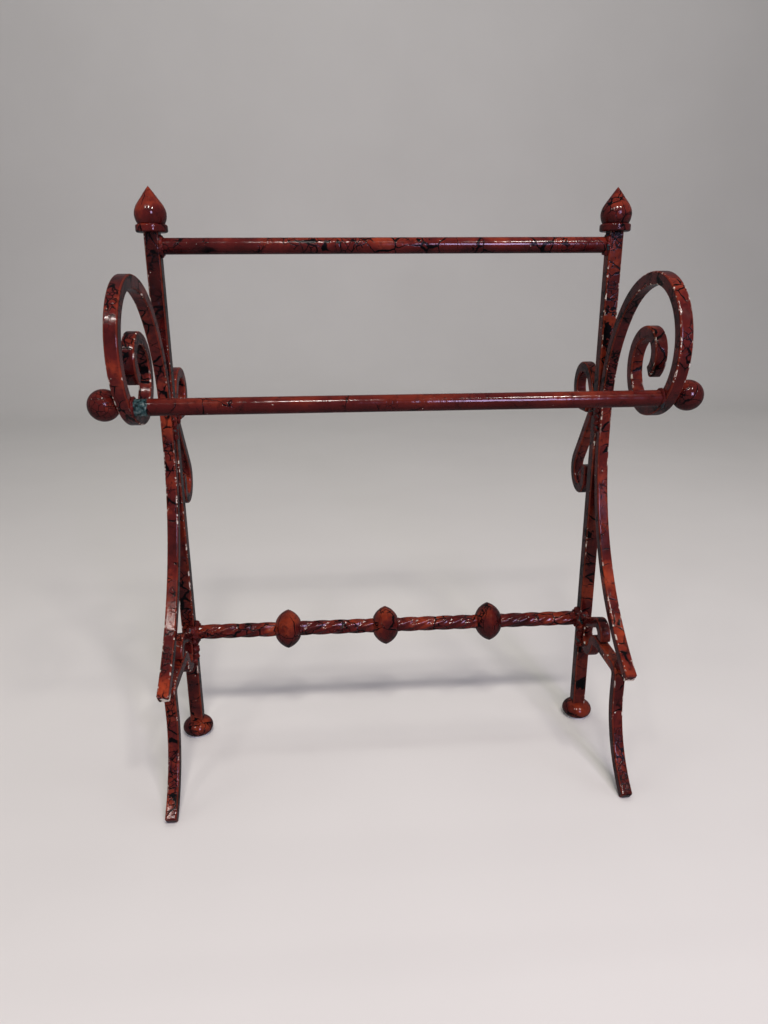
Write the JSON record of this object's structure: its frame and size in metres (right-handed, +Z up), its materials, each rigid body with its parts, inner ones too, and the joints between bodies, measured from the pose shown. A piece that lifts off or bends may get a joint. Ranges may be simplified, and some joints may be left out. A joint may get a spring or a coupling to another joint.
{
  "type": "towel rack",
  "caption": "free-standing counter-top towel rack of welded square bar with scrolled arms, curled legs, bud finials, a beaded twist rail and dark red crackled enamel",
  "frame": {"origin": "on the floor, under the middle of the overall bounding box", "axes": "+X to the right along the rails, +Y towards the back, +Z up; the loops and the front rail face -Y"},
  "size_m": [0.363, 0.1786, 0.4172],
  "materials": {
    "enamel": "gloss crackled enamel",
    "pad": "clear satin pad"
  },
  "bodies": {
    "root": {"left_rear_post": "enamel", "left_finial_collar": "enamel", "left_finial": "enamel", "left_rear_foot": "enamel", "left_foot_pad": "pad", "left_scroll_arm": "enamel", "left_back_scroll": "enamel", "left_front_leg": "enamel", "left_rail_ball": "enamel", "right_rear_post": "enamel", "right_finial_collar": "enamel", "right_finial": "enamel", "right_rear_foot": "enamel", "right_foot_pad": "pad", "right_scroll_arm": "enamel", "right_back_scroll": "enamel", "right_front_leg": "enamel", "right_rail_ball": "enamel", "top_rail": "enamel", "front_rail": "enamel", "twisted_rail": "enamel", "twist_bead_left": "enamel", "twist_bead_centre": "enamel", "twist_bead_right": "enamel", "top_rail_welds": "enamel", "front_rail_welds": "enamel", "twisted_rail_welds": "enamel", "arm_welds": "enamel", "back_scroll_welds": "enamel", "leg_welds": "enamel", "knee_welds": "enamel"}
  },
  "joints": []
}
